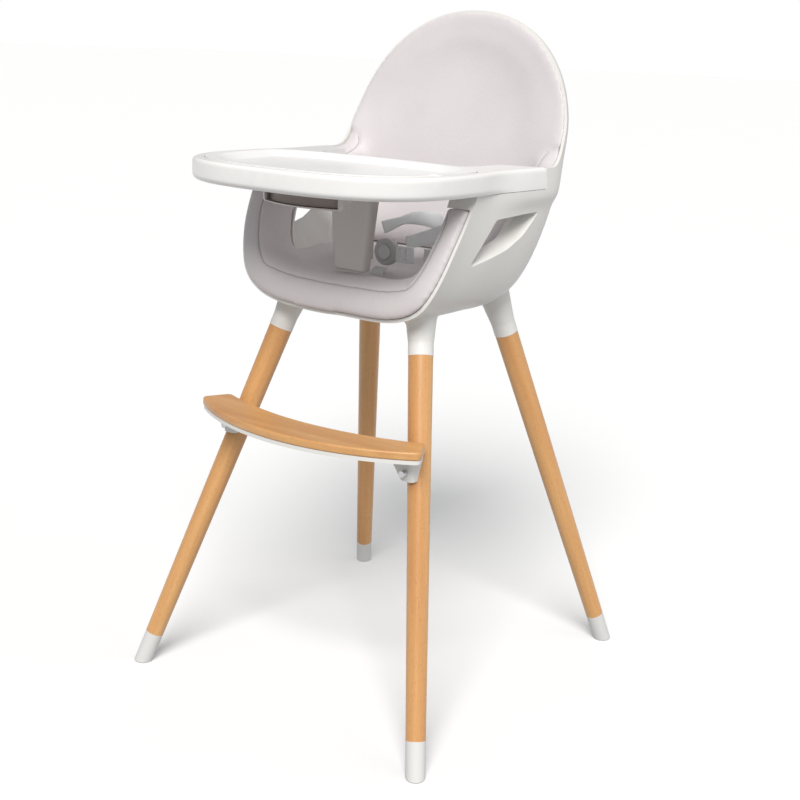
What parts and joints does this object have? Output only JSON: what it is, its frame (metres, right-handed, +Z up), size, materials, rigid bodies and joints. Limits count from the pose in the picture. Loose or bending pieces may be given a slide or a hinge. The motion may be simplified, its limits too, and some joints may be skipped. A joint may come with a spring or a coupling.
{
  "type": "baby high chair",
  "caption": "Baby high chair: rounded plastic bucket seat with padded liner and harness, sliding tray with lift-out insert, splayed wooden legs and a wooden footrest.",
  "frame": {"origin": "on the floor, at the middle of the footprint", "axes": "+Z up, -Y towards the front (tray side), +X towards the right side seen in the picture"},
  "size_m": [0.5504, 0.6014, 0.9997],
  "materials": {
    "shell_plastic": "satin moulded",
    "tray_plastic": "smooth semi-gloss",
    "insert_plastic": "smooth semi-gloss",
    "release_plastic": "satin moulded",
    "foot_plastic": "satin moulded",
    "cushion": "soft fine-grained leatherette",
    "beech": "clear satin lacquer",
    "webbing": "woven webbing",
    "buckle_plastic": "satin moulded",
    "button_plastic": "satin moulded",
    "screw_steel": "zinc-plated",
    "insert_brass": "machined"
  },
  "bodies": {
    "chair": {"seat_shell": "shell_plastic", "seat_pad": "cushion", "side_pad_right": "cushion", "side_pad_left": "cushion", "back_pad": "cushion", "leg_front_right": "beech", "leg_front_left": "beech", "leg_rear_right": "beech", "leg_rear_left": "beech", "foot_cap_front_right": "foot_plastic", "foot_cap_front_left": "foot_plastic", "foot_cap_rear_right": "foot_plastic", "foot_cap_rear_left": "foot_plastic", "hanger_bolts": "screw_steel", "socket_inserts": "insert_brass", "tray_rail_right": "shell_plastic", "tray_rail_left": "shell_plastic", "footrest_board": "beech", "footrest_carrier": "shell_plastic", "footrest_bracket_right": "shell_plastic", "footrest_bracket_left": "shell_plastic", "bracket_screws": "screw_steel", "board_screws": "screw_steel", "buckle_body": "buckle_plastic", "strap_adjuster": "buckle_plastic", "crotch_strap": "webbing", "shoulder_strap_right": "webbing", "shoulder_strap_left": "webbing", "waist_strap_right": "webbing", "waist_strap_left": "webbing"},
    "tray": {"tray_body": "tray_plastic", "tray_cover": "tray_plastic", "crotch_post": "tray_plastic", "latch_pod": "tray_plastic"},
    "insert": {"tray_insert": "insert_plastic"},
    "release": {"release_handle": "release_plastic"},
    "latch_right": {"latch_bolt_right": "release_plastic"},
    "latch_left": {"latch_bolt_left": "release_plastic"},
    "button": {"buckle_button": "button_plastic"}
  },
  "joints": [
    {"name": "tray_slide", "type": "slide", "parent": "chair", "child": "tray", "axis": [0, -1, 0], "range_m": [0, 0.22]},
    {"name": "insert_lift", "type": "slide", "parent": "tray", "child": "insert", "axis": [0, 0, 1], "range_m": [0, 0.05]},
    {"name": "release_pull", "type": "slide", "parent": "tray", "child": "release", "axis": [0, 1, 0], "range_m": [0, 0.01], "stiffness_N_per_m": 500, "springref_m": -0.004},
    {"name": "latch_right_slide", "type": "slide", "parent": "tray", "child": "latch_right", "axis": [-1, 0, 0], "range_m": [0, 0.008]},
    {"name": "latch_left_slide", "type": "slide", "parent": "tray", "child": "latch_left", "axis": [1, 0, 0], "range_m": [0, 0.008]},
    {"name": "buckle_press", "type": "slide", "parent": "chair", "child": "button", "axis": [0, 1, 0], "range_m": [0, 0.0035], "stiffness_N_per_m": 600, "springref_m": -0.002}
  ],
  "couplings": [
    {"joint": "latch_right_slide", "follows": "release_pull", "ratio": 0.8},
    {"joint": "latch_left_slide", "follows": "release_pull", "ratio": 0.8}
  ]
}
